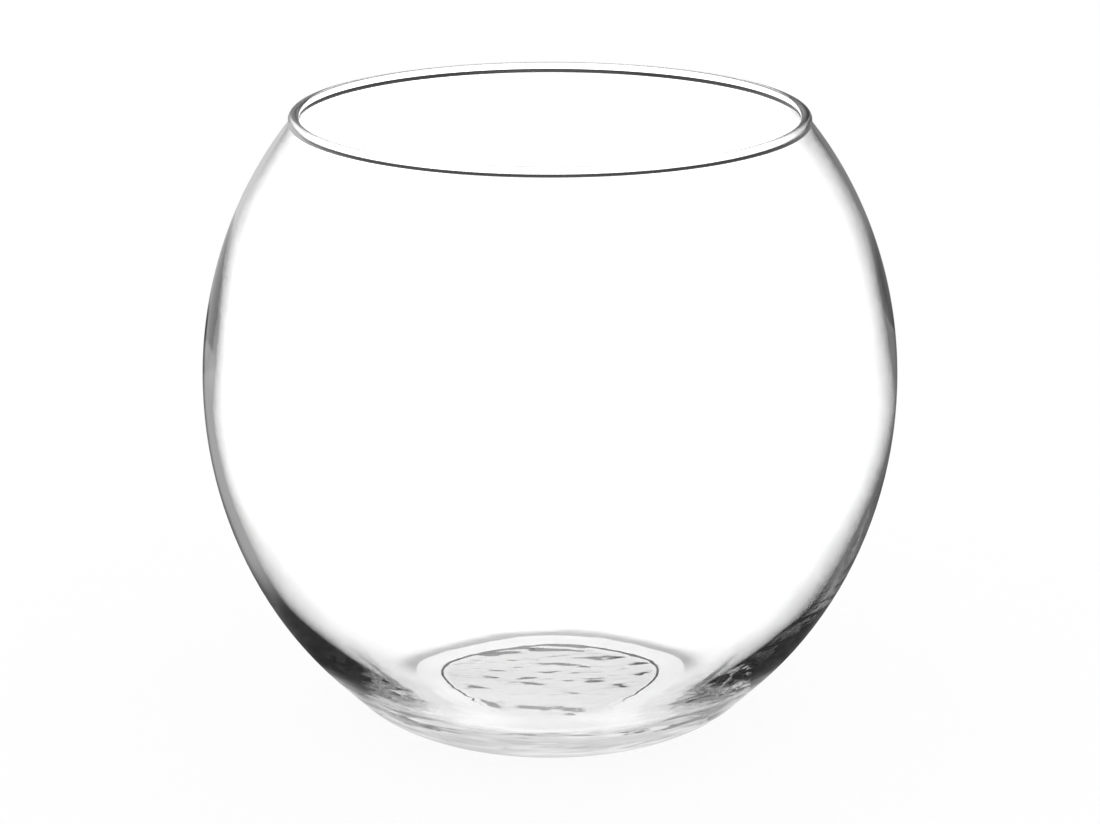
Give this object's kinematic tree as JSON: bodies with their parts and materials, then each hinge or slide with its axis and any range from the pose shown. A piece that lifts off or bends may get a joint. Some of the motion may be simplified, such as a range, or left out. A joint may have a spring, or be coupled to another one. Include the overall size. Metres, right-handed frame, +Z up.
{
  "type": "glass vase",
  "caption": "Clear glass bubble-bowl vase: a rounded one-piece body with a wide mouth, a fire-polished rim bead and a flat base, for flowers, floating candles or fillers.",
  "frame": {"origin": "on the table, under the middle of the bowl", "axes": "+Z up, along the bowl's axis of symmetry; the picture looks along +Y, with +X to its right"},
  "size_m": [0.203, 0.203, 0.181],
  "materials": {
    "clear_glass": "polished, clear"
  },
  "bodies": {
    "root": {"glass_bowl": "clear_glass"}
  },
  "joints": []
}
